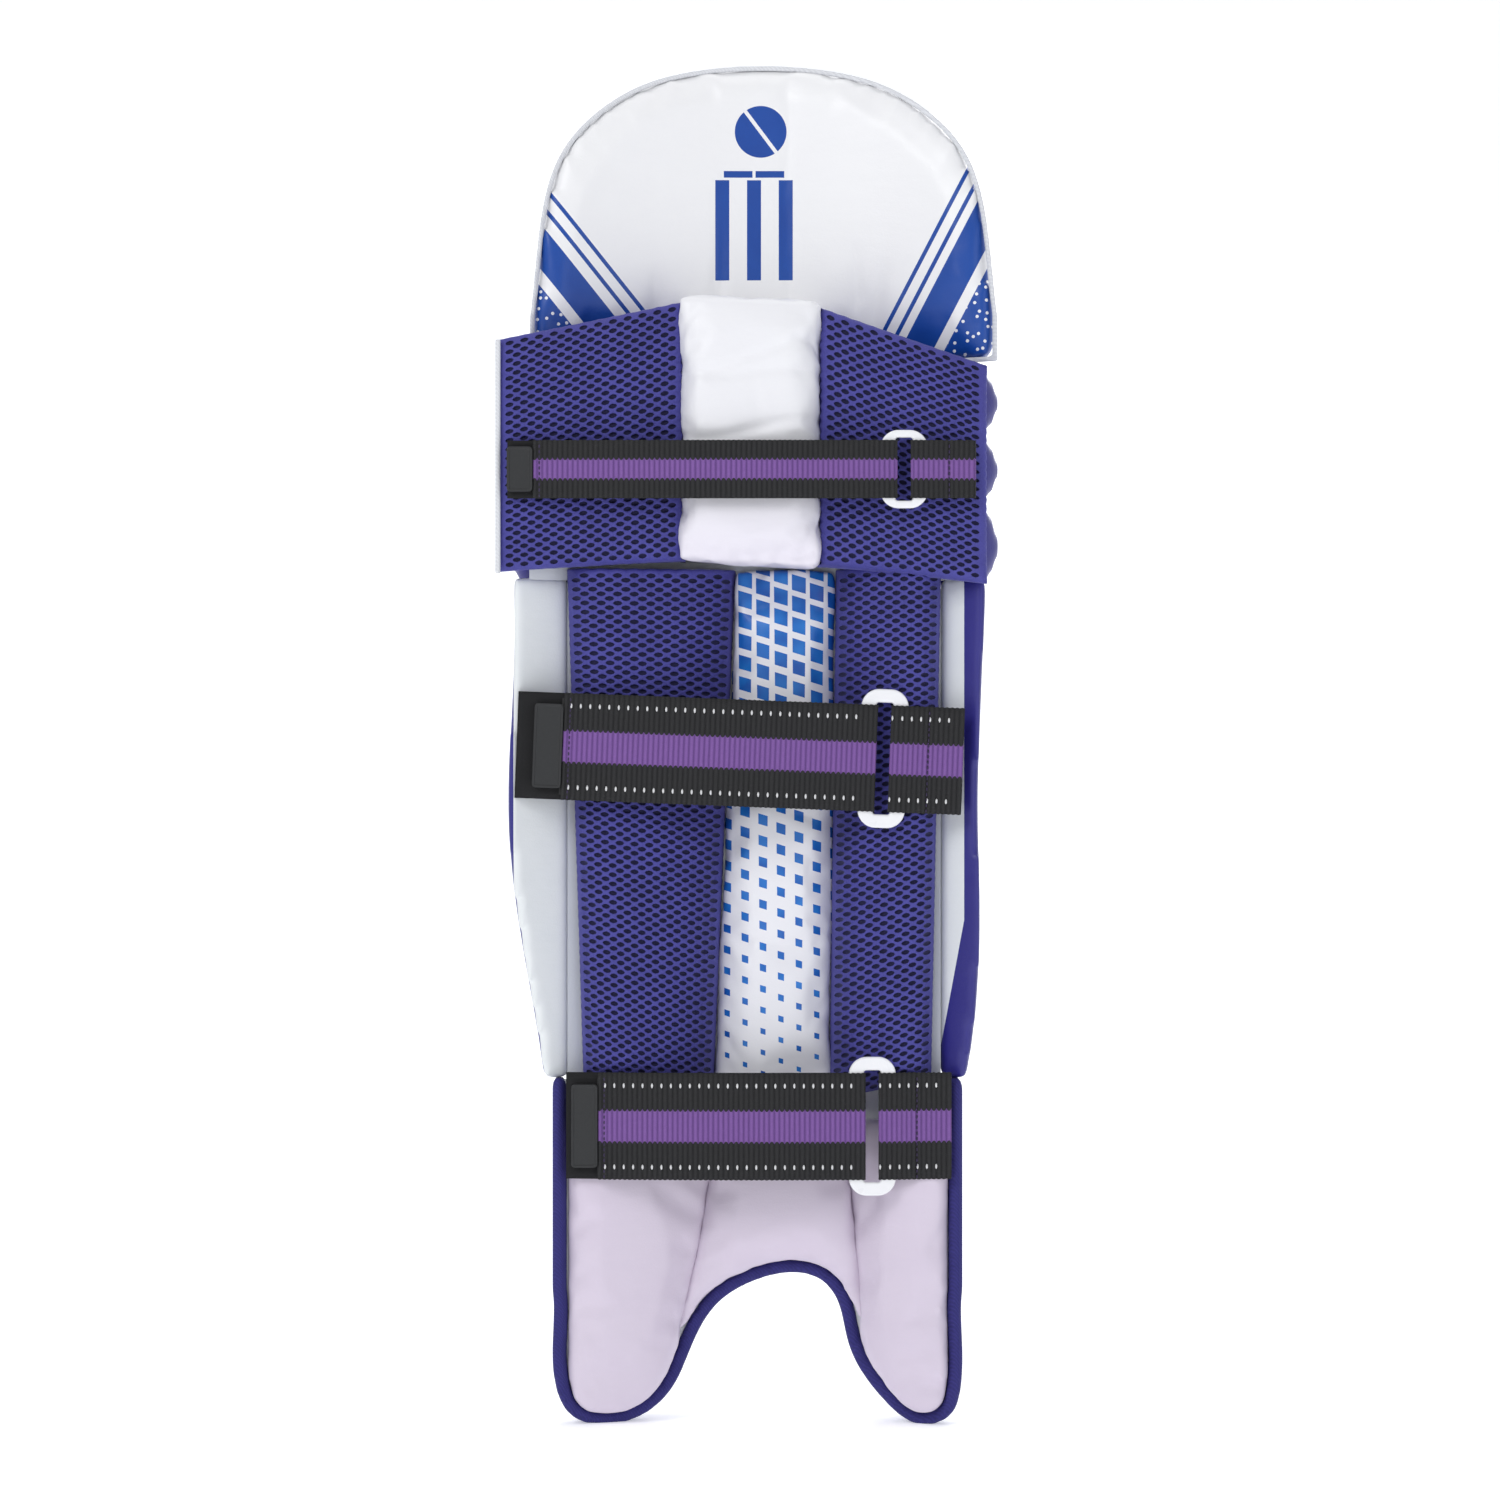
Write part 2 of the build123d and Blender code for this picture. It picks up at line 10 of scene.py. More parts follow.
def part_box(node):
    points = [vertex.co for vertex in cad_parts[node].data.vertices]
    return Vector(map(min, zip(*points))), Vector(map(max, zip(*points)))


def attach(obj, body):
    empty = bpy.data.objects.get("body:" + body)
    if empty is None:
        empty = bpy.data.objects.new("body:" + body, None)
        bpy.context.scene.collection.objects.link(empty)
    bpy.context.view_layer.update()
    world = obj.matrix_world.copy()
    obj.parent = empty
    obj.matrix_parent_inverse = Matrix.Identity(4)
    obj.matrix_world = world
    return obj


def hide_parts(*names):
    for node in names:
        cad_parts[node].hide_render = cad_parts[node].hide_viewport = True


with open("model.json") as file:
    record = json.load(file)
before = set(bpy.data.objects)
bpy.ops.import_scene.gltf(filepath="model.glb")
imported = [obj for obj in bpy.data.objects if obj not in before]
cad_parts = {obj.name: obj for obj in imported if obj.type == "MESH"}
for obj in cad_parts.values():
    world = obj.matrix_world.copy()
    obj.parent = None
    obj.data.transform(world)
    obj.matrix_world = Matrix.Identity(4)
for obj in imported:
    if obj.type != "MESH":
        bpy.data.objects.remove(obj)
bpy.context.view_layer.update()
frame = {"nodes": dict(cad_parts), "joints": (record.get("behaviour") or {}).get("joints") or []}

nodes = frame["nodes"]
mm = 0.001

# ---------------------------------------------------------------- camera, light and floor
# The pad stands upright, seen straight on from the leg side, on a pale floor that sweeps up behind it.
view_height = 0.4008
view_distance = 3.2
view_span = 0.881

camera_data = bpy.data.cameras.new("camera")
camera_data.sensor_width = 36
camera_data.lens = 36 * view_distance / view_span
camera = bpy.data.objects.new("camera", camera_data)
camera.location = (0.0004, -view_distance - 0.05, view_height)
camera.rotation_euler = (math.radians(90), 0, 0)
bpy.context.scene.collection.objects.link(camera)
bpy.context.scene.camera = camera


def soft_light(name, place, target, width, power, tint=(1, 1, 1)):
    """A large area light aimed at a point."""
    data = bpy.data.lights.new(name, "AREA")
    data.size = width
    data.energy = power
    data.color = tint
    light = bpy.data.objects.new(name, data)
    light.location = place
    light.rotation_euler = (Vector(target) - Vector(place)).to_track_quat("-Z", "Y").to_euler()
    bpy.context.scene.collection.objects.link(light)


soft_light("key", (-1.5, -2.2, 2.1), (0, 0, 0.4), 1.3, 30)
soft_light("fill", (1.9, -2.4, 0.9), (0, 0, 0.4), 1.6, 9, (0.95, 0.97, 1))
soft_light("top", (0.2, 0.3, 2.6), (0, 0, 0.4), 1.4, 12)
soft_light("front_face", (0.8, 2.6, 1.6), (0, 0, 0.4), 1.6, 26)
world = bpy.data.worlds.new("studio")
world.use_nodes = True
world.node_tree.nodes["Background"].inputs["Color"].default_value = (0.93, 0.95, 1, 1)
world.node_tree.nodes["Background"].inputs["Strength"].default_value = 0.5
bpy.context.scene.world = world
bpy.context.scene.view_settings.view_transform = "Standard"

floor_mesh = bmesh.new()
bmesh.ops.create_grid(floor_mesh, x_segments=2, y_segments=80, size=7)
for vert in floor_mesh.verts:
    vert.co.z = 0.35 * max(vert.co.y - 1.2, 0) ** 2
floor_data = bpy.data.meshes.new("floor")
floor_mesh.to_mesh(floor_data)
floor = bpy.data.objects.new("floor", floor_data)
bpy.context.scene.collection.objects.link(floor)


class Wire:
    """A socket in a material, with the arithmetic of its values."""

    def __init__(self, tree, socket):
        self.tree, self.socket = tree, socket

    def math(self, operation, *values):
        return self.node("ShaderNodeMath", {"operation": operation}, dict(enumerate(values)))

    def node(self, kind, settings=None, inputs=None, output=0):
        """Any node: its settings first, then the values or links of its sockets."""
        made = self.tree.nodes.new(kind)
        for name, value in (settings or {}).items():
            setattr(made, name, value)
        for name, value in (inputs or {}).items():
            if isinstance(value, Wire):
                self.tree.links.new(value.socket, made.inputs[name])
            else:
                made.inputs[name].default_value = value
        return Wire(self.tree, made.outputs[output])

    def mix(self, mask, other):
        """This colour where mask is 0 and the other where it is 1."""
        return self.node("ShaderNodeMix", {"data_type": "RGBA"}, {0: mask, 6: self, 7: other}, 2)

    def __add__(self, other):
        return self.math("ADD", self, other)

    def __radd__(self, other):
        return self.math("ADD", other, self)

    def __sub__(self, other):
        return self.math("SUBTRACT", self, other)

    def __rsub__(self, other):
        return self.math("SUBTRACT", other, self)

    def __mul__(self, other):
        return self.math("MULTIPLY", self, other)

    def __rmul__(self, other):
        return self.math("MULTIPLY", other, self)

    def __truediv__(self, other):
        return self.math("DIVIDE", self, other)

    def __gt__(self, other):
        return self.math("GREATER_THAN", self, other)

    def __lt__(self, other):
        return self.math("LESS_THAN", self, other)

    def __abs__(self):
        return self.math("ABSOLUTE", self)


class Finish:
    """A material under construction."""

    def __init__(self, name):
        self.material = bpy.data.materials.new(name)
        self.material.use_nodes = True
        self.tree = self.material.node_tree
        self.shader = self.tree.nodes["Principled BSDF"]
        self.start = Wire(self.tree, None)
        self.place = self.start.node("ShaderNodeTexCoord", output="Object")
        self.along = self.start.node("ShaderNodeTexCoord", output="UV")

    def axes(self, vector):
        """The three parts of a vector."""
        split = self.start.node("ShaderNodeSeparateXYZ", inputs={0: vector})
        return [Wire(self.tree, output) for output in split.socket.node.outputs]

    def color(self, red, green, blue):
        """One colour."""
        rgb = self.start.node("ShaderNodeRGB")
        rgb.socket.default_value = (red, green, blue, 1)
        return rgb

    def noise(self, scale, detail=3, vector=None, roughness=0.5):
        """Fractal noise between 0 and 1."""
        inputs = {"Vector": vector or self.place, "Scale": scale, "Detail": detail, "Roughness": roughness}
        return self.start.node("ShaderNodeTexNoise", None, inputs)

    def set(self, **constants):
        """Values that are the same all over."""
        for name, value in constants.items():
            self.shader.inputs[name.replace("_", " ")].default_value = value

    def paint(self, color, roughness=None, height=None, depth=0.0005, strength=1.0):
        """Links the colour, the roughness and a bump to the shader."""
        self.tree.links.new(color.socket, self.shader.inputs["Base Color"])
        if roughness is not None:
            self.tree.links.new(roughness.socket, self.shader.inputs["Roughness"])
        if height is not None:
            inputs = {"Strength": strength, "Distance": depth, "Height": height}
            bump = self.start.node("ShaderNodeBump", None, inputs)
            self.tree.links.new(bump.socket, self.shader.inputs["Normal"])
        return self.material


def floor_finish():
    """Pale, matt, very faintly mottled."""
    f = Finish("pale floor")
    pale = f.color(0.86, 0.87, 0.88).mix(f.noise(3), f.color(0.9, 0.9, 0.91))
    f.set(Roughness=0.8, Emission_Color=(0.97, 0.98, 1, 1), Emission_Strength=0.42)
    return f.paint(pale)


floor_data.materials.append(floor_finish())


# ---------------------------------------------------------------- where things lie
# The whole pad is bent round an upright axis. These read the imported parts, so each piece fits its place.
board_low, board_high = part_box("shin_board")
lining_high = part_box("back_lining")[1]
axis_x = (board_low.x + board_high.x) / 2
board_radius = 220 * mm
axis_y = lining_high.y - board_radius


def faces_of(*names):
    """A search tree over the triangles of some CAD nodes."""
    points, polygons = [], []
    for name in names:
        data = nodes[name].data
        start = len(points)
        points += [v.co.copy() for v in data.vertices]
        polygons += [[start + i for i in p.vertices] for p in data.polygons]
    return BVHTree.FromPolygons(points, polygons)


def leg_side(tree, x, z, fallback=None):
    """The y of the first face met from the leg side at x and z."""
    hit = tree.ray_cast(Vector((x, -0.5, z)), Vector((0, 1, 0)))[0]
    return hit.y if hit else fallback


def board_y(x, depth=0.0):
    """The y of the board's leg-side face at x, or of a face that far towards the leg from it."""
    return axis_y + math.sqrt((board_radius - depth) ** 2 - (x - axis_x) ** 2)


def new_piece(name, mesh, materials, body="shin_guard", smooth=True):
    """A finished bmesh as an object that rides on a body."""
    data = bpy.data.meshes.new(name)
    mesh.to_mesh(data)
    mesh.free()
    for material in materials:
        data.materials.append(material)
    if smooth:
        data.shade_smooth()
    piece = bpy.data.objects.new(name, data)
    bpy.context.scene.collection.objects.link(piece)
    if body:
        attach(piece, body)
    return piece


# ---------------------------------------------------------------- air-mesh cushions
# Knitted spacer mesh over foam: rows of small oval holes, sewn down to the lining all round. Two long
# cushions run down the shin and two panels flank the knee. The knit is real: every hole is a hollow.
# The holes' floors and walls take a near-black copy of the yarn: painted shade in the hollows.
hole_across, hole_up = 8.8 * mm, 5.5 * mm
hole_depth = 2.0 * mm
thread_share = 0.12  # of a cell, left as thread on each side of a hole


def mesh_finish(name, light, dark):
    """Knitted yarn: fine loops, with random tone and painted light and shade that follow the loops' relief."""
    f = Finish(name)
    loops = f.start.node("ShaderNodeTexVoronoi", None, {"Vector": f.place, "Scale": 1400.0})
    # Random tone from the noise, plus painted light and shade from the loops, which also make the bump.
    shade = f.noise(60) * 0.6 + loops * 0.4
    f.set(Roughness=0.75, Sheen_Weight=0.2, Sheen_Roughness=0.4, Sheen_Tint=(0.5, 0.5, 0.95, 1))
    return f.paint(f.color(*light).mix(shade, f.color(*dark)), height=loops, depth=0.25 * mm, strength=0.5)


yarn = mesh_finish("air mesh yarn", (0.075, 0.072, 0.36), (0.03, 0.028, 0.19))
# The second copy of the yarn is near black: painted shade for the floors and walls of the holes.
hole_shade_yarn = mesh_finish("air mesh painted hole shade", (0.004, 0.0035, 0.06), (0.002, 0.0015, 0.03))


def crown(u, v, length, width, open_top):
    """How full a cushion is at u across and v along, from 0 at its seams to 1."""
    across = (1 - abs(2 * u - 1) ** 2.7) ** 0.55
    reach = (v if open_top else min(v, 1 - v)) * length / (width * 0.28)
    along = (1 - (1 - min(reach, 1)) ** 2.5) ** 0.5
    return across * along


def corners_of(name, out, up=0.0):
    """The corners of a CAD cushion in x and z, from the low left one round, moved out and the top up."""
    at = [v.co for v in nodes[name].data.vertices]
    low_left = min(at, key=lambda p: p.x + p.z)
    low_right = max(at, key=lambda p: p.x - p.z)
    high_right = max(at, key=lambda p: p.x + p.z)
    high_left = max(at, key=lambda p: p.z - p.x)
    found = (low_left, low_right, high_right, high_left)
    moves = ((-out, 0), (out, 0), (out, up), (-out, up))
    return [Vector((p.x + right, 0, p.z + lift)) for p, (right, lift) in zip(found, moves)]


def knit_cushion(corners, seat, height, back, open_top=False):
    """A closed cushion of knitted mesh. seat gives the y of its seams, height how far it swells
    towards the leg, and back the y of its hidden side."""
    low_left, low_right, high_right, high_left = corners
    width = ((low_right - low_left).length + (high_right - high_left).length) / 2
    length = ((high_left - low_left).length + (high_right - low_right).length) / 2
    m = bmesh.new()
    cells = int(width / hole_across + length / hole_up) + 4
    bmesh.ops.create_grid(m, x_segments=cells, y_segments=cells, size=cells / 2)
    bmesh.ops.transform(m, matrix=Matrix.Rotation(math.radians(45), 4, "Z"), verts=m.verts)
    squeeze = Matrix.Diagonal((hole_across / math.sqrt(2), hole_up / math.sqrt(2), 1, 1))
    bmesh.ops.transform(m, matrix=squeeze, verts=m.verts)
    for x, y in ((-width / 2, 0), (width / 2, 0), (0, -length / 2), (0, length / 2)):
        everything = m.verts[:] + m.edges[:] + m.faces[:]
        inward = -Vector((x, y, 0)).normalized()
        bmesh.ops.bisect_plane(m, geom=everything, plane_co=(x, y, 0), plane_no=inward, clear_inner=True)
    cell_area = hole_across * hole_up / 2
    whole = [face for face in m.faces if len(face.verts) == 4 and face.calc_area() > cell_area * 0.9]
    cell = math.hypot(hole_across, hole_up) / 2
    bmesh.ops.inset_individual(m, faces=whole, thickness=cell * thread_share)
    rims = {vert for face in whole for vert in face.verts}
    walls = bmesh.ops.inset_individual(m, faces=whole, thickness=cell * 0.05)["faces"]
    hollows = {vert for face in whole for vert in face.verts}
    # Slot 1, the near-black yarn, paints shade into every hole's floor and walls.
    for face in whole + walls:
        face.material_index = 1
    rim = [edge for edge in m.edges if edge.is_boundary]
    drop = bmesh.ops.extrude_edge_only(m, edges=rim)["geom"]
    skirt = {v for v in drop if isinstance(v, bmesh.types.BMVert)}
    back_edges = [e for e in drop if isinstance(e, bmesh.types.BMEdge)]
    hidden = bmesh.ops.holes_fill(m, edges=back_edges)["faces"]
    bmesh.ops.triangulate(m, faces=hidden)
    for vert in m.verts:
        u = min(max(vert.co.x / width + 0.5, 0), 1)
        v = min(max(vert.co.y / length + 0.5, 0), 1)
        spot = low_left.lerp(low_right, u).lerp(high_left.lerp(high_right, u), v)
        y = seat(spot.x, spot.z) - height(u, v, spot) * crown(u, v, length, width, open_top)
        if vert in hollows:
            y += hole_depth
        elif vert in rims:
            y -= 0.15 * mm
        vert.co = Vector((spot.x, back(spot.x, spot.z) if vert in skirt else y, spot.z))
    bmesh.ops.recalc_face_normals(m, faces=m.faces)
    return m


def padded_piece(name, mesh, materials, stands_for, body="shin_guard"):
    """A soft piece that rides on a body, stands for its CAD nodes and is smoothed."""
    piece = new_piece(name, mesh, materials, body)
    smooth = piece.modifiers.new("smooth", "SUBSURF")
    smooth.levels = smooth.render_levels = 1
    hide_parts(*stands_for)


for side in ("left", "right"):
    name = f"shin_bolster_{side}"
    low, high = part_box(name)
    full = board_y((low.x + high.x) / 2, 1.4 * mm) - low.y
    knit = knit_cushion(
        corners_of(name, 1.2 * mm, 8 * mm),
        lambda x, z: board_y(x, 3.5 * mm),
        lambda u, v, spot: (full - 4 * mm) * (1 - 0.1 * max(0, 1 - abs(spot.z - 0.396) / 0.05)),
        lambda x, z: board_y(x, 1.3 * mm),
        open_top=True,
    )
    padded_piece(f"{name}_cover", knit, [yarn, hole_shade_yarn], [name, "shin_cushion_foams"])

for side in ("left", "right"):
    name = f"knee_bolster_{side}"
    face = faces_of(name)
    low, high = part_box(name)
    middle, half = (low.x + high.x) / 2, (high.x - low.x) / 2 - 5 * mm
    level = low.z + 60 * mm
    crest = leg_side(face, middle, level)

    def front(x, z):
        """The y of the panel's leg-side face, the same at all heights."""
        return leg_side(face, middle + max(min(x - middle, half), -half), level, crest)

    knit = knit_cushion(
        corners_of(name, 2.8 * mm if side == "left" else 0.8 * mm),
        lambda x, z: front(x, z) + 7 * mm,
        lambda u, v, spot: 9 * mm * (1 - 0.16 * max(0, 1 - abs(spot.z - 0.5657) / 0.03)),
        lambda x, z: max(board_y(x, 1.3 * mm), front(x, z) + 14 * mm),
    )
    padded_piece(f"{name}_cover", knit, [yarn, hole_shade_yarn], [name, "knee_bolster_foams"])


# ---------------------------------------------------------------- white and printed cushions
# Polyurethane-coated cloth over foam: the middle of the knee bolster, the roll down the middle of the
# shin with its printed blocks, and the three pads over the instep. Each puffs up from its seams.
def coated_cloth(name, base, shade, rough=0.42, print_over=None, wrinkle=1.0):
    """Satin coated cloth with a fine leather grain, soft creases, random tone, and painted shade along the
    creases.
    """
    f = Finish(name)
    grain = f.start.node("ShaderNodeTexVoronoi", None, {"Vector": f.place, "Scale": 900.0})
    upright = f.start.node("ShaderNodeVectorMath", {"operation": "MULTIPLY"}, {0: f.place, 1: (1.0, 1.0, 2.6)})
    crease = f.noise(28, 4, upright)
    cloud = f.noise(9, 2)
    # The shade colour comes in by random cloud tone and by the crease noise, which also makes the bump:
    # painted shade in the creases.
    color = f.color(*base).mix(cloud * 0.6 + crease * 0.25, f.color(*shade))
    if print_over:
        color = print_over(f, color)
    height = grain * 0.12 + crease * 1.6 * wrinkle
    return f.paint(color, f.noise(40) * 0.12 + (rough - 0.06), height, depth=0.9 * mm, strength=0.35)


def outer_skin(name):
    """The outside of a CAD node as a bmesh of joined triangles, without the inner wall of a cover."""
    m = bmesh.new()
    m.from_mesh(nodes[name].data)
    bmesh.ops.remove_doubles(m, verts=m.verts, dist=0.01 * mm)
    unseen, islands = set(m.verts), []
    while unseen:
        stack, island = [unseen.pop()], []
        while stack:
            vert = stack.pop()
            island.append(vert)
            for edge in vert.link_edges:
                other = edge.other_vert(vert)
                if other in unseen:
                    unseen.discard(other)
                    stack.append(other)
        reach = [max(v.co[k] for v in island) - min(v.co[k] for v in island) for k in range(3)]
        islands.append((sum(reach), island))
    if len(islands) == 2:
        inner = min(islands, key=lambda pair: pair[0])[1]
        bmesh.ops.delete(m, geom=inner, context="VERTS")
    return m


def smoothed(mesh, factor):
    """One round of smoothing over the whole mesh."""
    bmesh.ops.smooth_vert(
        mesh, verts=mesh.verts, factor=factor, use_axis_x=True, use_axis_y=True, use_axis_z=True
    )


def evaluated(mesh, add_modifiers, frames=0):
    """A bmesh after some modifiers, and after stepping the scene when one of them is a simulation."""
    data = bpy.data.meshes.new("work")
    mesh.to_mesh(data)
    piece = bpy.data.objects.new("work", data)
    bpy.context.scene.collection.objects.link(piece)
    add_modifiers(piece)
    for number in range(1, frames + 1):
        bpy.context.scene.frame_set(number)
    graph = bpy.context.evaluated_depsgraph_get()
    result = bpy.data.meshes.new_from_object(piece.evaluated_get(graph))
    mesh.clear()
    mesh.from_mesh(result)
    bpy.data.objects.remove(piece)
    bpy.context.scene.frame_set(1)
    return mesh


def soft_copy(mesh, voxel, rounds, swell=0.0):
    """Even quads in place of loose triangles, with softened edges, drawn out by swell beforehand."""

    def remesh(piece):
        even = piece.modifiers.new("even", "REMESH")
        even.mode = "VOXEL"
        even.voxel_size = voxel

    evaluated(mesh, remesh)
    mesh.normal_update()
    for vert in mesh.verts:
        vert.co += vert.normal * swell
    for _ in range(rounds):
        smoothed(mesh, 0.5)
    return mesh


def puffed(mesh, held, pressure, grow, cap, frames=16):
    """Inflates a cover by cloth simulation. held tells which points are sewn down."""
    before = [v.co.copy() for v in mesh.verts]
    fixed = [i for i, point in enumerate(before) if held(point)]

    def cloth(piece):
        piece.vertex_groups.new(name="sewn").add(fixed, 1.0, "REPLACE")
        sim = piece.modifiers.new("cloth", "CLOTH")
        sim.settings.quality = 5
        sim.settings.mass = 0.25
        sim.settings.tension_stiffness = 18
        sim.settings.compression_stiffness = 14
        sim.settings.bending_stiffness = 0.25
        sim.settings.vertex_group_mass = "sewn"
        sim.settings.use_pressure = True
        sim.settings.uniform_pressure_force = pressure
        sim.settings.shrink_min = -grow
        sim.settings.effector_weights.gravity = 0
        sim.collision_settings.use_collision = False
        sim.point_cache.frame_end = frames

    evaluated(mesh, cloth, frames)
    for vert, start in zip(mesh.verts, before):
        move = vert.co - start
        if move.length > cap:
            vert.co = start + move.normalized() * cap
    smoothed(mesh, 0.4)
    return mesh


def lilac_shade_foot(f, under):
    """Painted lilac shade towards the lower end of the knee bolster's white panel."""
    x, y, z = f.axes(f.place)
    low = f.start.node(
        "ShaderNodeMapRange", None,
        {"Value": z, "From Min": 0.505, "From Max": 0.575, "To Min": 0.75, "To Max": 0.0},
    )
    return under.mix(low, f.color(0.74, 0.69, 0.79))


# White coated cloth, with painted lilac shade at its lower end.
white_cloth = coated_cloth(
    "white coated cloth", (0.86, 0.86, 0.87), (0.78, 0.77, 0.8), 0.42, lilac_shade_foot, 1.5
)
instep_cloth = coated_cloth("instep coated cloth", (0.71, 0.64, 0.73), (0.6, 0.52, 0.64))

# ---- middle panel of the knee bolster ----
panel = soft_copy(outer_skin("knee_bolster_centre"), 2.4 * mm, 5, 1.5 * mm)
panel_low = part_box("knee_bolster_centre")[0]
panel = puffed(panel, lambda p: p.y > panel_low.y + 16 * mm, 5, 0.05, 8 * mm)
creases = ((0.5905, 0.05, 3.2, 2.4), (0.6235, -0.09, 3.6, 1.6), (0.633, 0.16, 3.0, 1.3))
for vert in panel.verts:
    near = min(max((panel_low.y + 40 * mm - vert.co.y) / (30 * mm), 0), 1)
    x, z = vert.co.x - axis_x, vert.co.z
    pinch = 4.5 * mm * math.exp(-(((z - 0.5657) / (19 * mm)) ** 2))
    folds = 0
    for high, bend, wide, deep in creases:
        line = z - high - bend * x - 4 * mm * math.sin(x / (17 * mm))
        folds += deep * mm * math.exp(-((line / (wide * mm)) ** 2))
    gather = 0.9 * mm * math.sin(x / (2.1 * mm)) * max(0, 1 - (z - panel_low.z) / (16 * mm))
    vert.co.y += near * (pinch + folds + gather)
padded_piece("knee_bolster_centre_cover", panel, [white_cloth], ["knee_bolster_centre"])

# ---- printed roll down the middle of the shin ----
block_across, block_up, block_step = 10.7 * mm, 12.6 * mm, 5.2 * mm


def block_print(f, under):
    """Blue blocks in staggered columns, almost touching at the top and dwindling to specks at the foot."""
    x, y, z = f.axes(f.place)
    low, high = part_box("centre_roll")
    column = x.math("FLOOR", (x - axis_x) / block_across)
    across = (x - axis_x) - (column + 0.5) * block_across
    along = (z + column * block_step) / block_up + 100
    up = (along - x.math("FLOOR", along) - 0.5) * block_up + across * 0.3
    size = f.start.node(
        "ShaderNodeMapRange", {"interpolation_type": "LINEAR"},
        {"Value": z, "From Min": low.z, "From Max": high.z, "To Min": 1.1 * mm, "To Max": 4.2 * mm},
    )
    block = (abs(across) < size) * (abs(up) < size * 1.12)
    sheen = f.noise(70, 1) * 1.6 - 0.3
    blue = f.color(0.002, 0.06, 0.36).mix(sheen, f.color(0.02, 0.22, 0.66))
    return under.mix(block, blue)


printed_cloth = coated_cloth(
    "printed coated cloth", (0.86, 0.86, 0.88), (0.8, 0.79, 0.84), 0.36, block_print, 0.8
)
roll = soft_copy(outer_skin("centre_roll"), 3.5 * mm, 3, 1.2 * mm)
roll = puffed(roll, lambda p: p.y > board_y(p.x, 4 * mm), 3, 0.03, 5 * mm)
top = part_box("centre_roll")[1].z
for vert in roll.verts:
    vert.co.z += 6 * mm * min(max((vert.co.z - top + 14 * mm) / (12 * mm), 0), 1)
padded_piece("centre_roll_cover", roll, [printed_cloth], ["centre_roll"])

# ---- three instep pads ----
for side, pressure in (("left", 4), ("centre", 3), ("right", 4)):
    name = f"instep_pad_{side}"
    pad = soft_copy(outer_skin(name), 3.5 * mm, 5, 2.6 * mm)
    pad = puffed(pad, lambda p: p.y > board_y(p.x, 4.5 * mm), pressure, 0.02, 5 * mm)
    padded_piece(f"{name}_cover", pad, [instep_cloth], [name])

# ---------------------------------------------------------------- playing face
# Seven vertical cane rolls, three knee rolls and two wings, each a coloured coated-cloth cover sewn to
# the canvas along both edges.
face_cloth = coated_cloth("face coated cloth", (0.03, 0.026, 0.24), (0.018, 0.015, 0.16), 0.36)


def lining_or_face(f, color):
    """The wings' leg side is pale lining, up to a coloured border, and their outside is the face cloth."""
    x, y, z = f.axes(f.place)
    rise = (y - axis_y) * (y - axis_y) + (x - axis_x) * (x - axis_x)
    inside = rise < (board_radius + 1.5 * mm) ** 2
    left_edge, right_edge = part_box("wing_left")[0].x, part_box("wing_right")[1].x
    taper = f.start.node(
        "ShaderNodeMapRange", None,
        {"Value": z, "From Min": 0.222, "From Max": 0.30, "To Min": 14 * mm, "To Max": 0.0},
    )
    pale = inside * (x > left_edge + taper + 2.5 * mm) * (x < right_edge - taper - 12 * mm)
    lining = f.color(0.82, 0.84, 0.84).mix(f.noise(30), f.color(0.72, 0.75, 0.76))
    return color.mix(pale, lining)


wing_cloth = coated_cloth(
    "wing cloth", (0.03, 0.026, 0.24), (0.018, 0.015, 0.16), 0.42, lining_or_face, 1.4
)
lining_cloth = coated_cloth("lining cloth", (0.8, 0.82, 0.82), (0.7, 0.73, 0.74), 0.45)

for number in range(1, 8):
    name = f"shin_roll_{number}"
    cover = soft_copy(outer_skin(name), 4 * mm, 3, 1 * mm)
    stands_for = [name, "roll_wadding"] if number == 1 else [name]
    padded_piece(f"{name}_cover", cover, [face_cloth], stands_for)
for level in ("upper", "middle", "lower"):
    name = f"knee_roll_{level}"
    cover = soft_copy(outer_skin(name), 4 * mm, 6, 1.5 * mm)
    stands_for = [name, "knee_roll_foam"] if level == "upper" else [name]
    padded_piece(f"{name}_cover", cover, [face_cloth], stands_for)
for side in ("left", "right"):
    name = f"wing_{side}"
    cover = soft_copy(outer_skin(name), 2.6 * mm, 3, 0.8 * mm)
    stands_for = [name, "wing_foams"] if side == "left" else [name]
    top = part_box(name)[1].z
    for vert in cover.verts:
        vert.co.z += 5 * mm * min(max((vert.co.z - top + 12 * mm) / (10 * mm), 0), 1)
    padded_piece(f"{name}_cover", cover, [wing_cloth], stands_for)

# ---------------------------------------------------------------- binding and piping
# Woven tape folded over the raw edge of the foot lobes and the arch, and thin piping round the top hat
# and down both sides of the knee bolster.
def tape_finish(name, light, dark):
    """Twill tape: fine slanting ribs."""
    f = Finish(name)
    x, y, z = f.axes(f.place)
    slant = f.start.node(
        "ShaderNodeTexWave", {"wave_type": "BANDS", "bands_direction": "DIAGONAL"},
        {"Vector": f.place, "Scale": 260.0, "Distortion": 1.5, "Detail": 1.0},
    )
    f.set(Roughness=0.8)
    color = f.color(*light).mix(slant * 0.5 + f.noise(90) * 0.4, f.color(*dark))
    return f.paint(color, height=slant, depth=0.2 * mm, strength=0.6)


navy_tape = tape_finish("navy binding tape", (0.028, 0.024, 0.19), (0.014, 0.012, 0.11))
pale_tape = tape_finish("pale piping", (0.75, 0.76, 0.78), (0.6, 0.61, 0.64))


def trim_piece(name, mesh, material, stands_for, body="shin_guard"):
    """A thin sewn trim that rides on a body."""
    piece = new_piece(name, mesh, [material], body)
    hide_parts(*stands_for)
    return piece


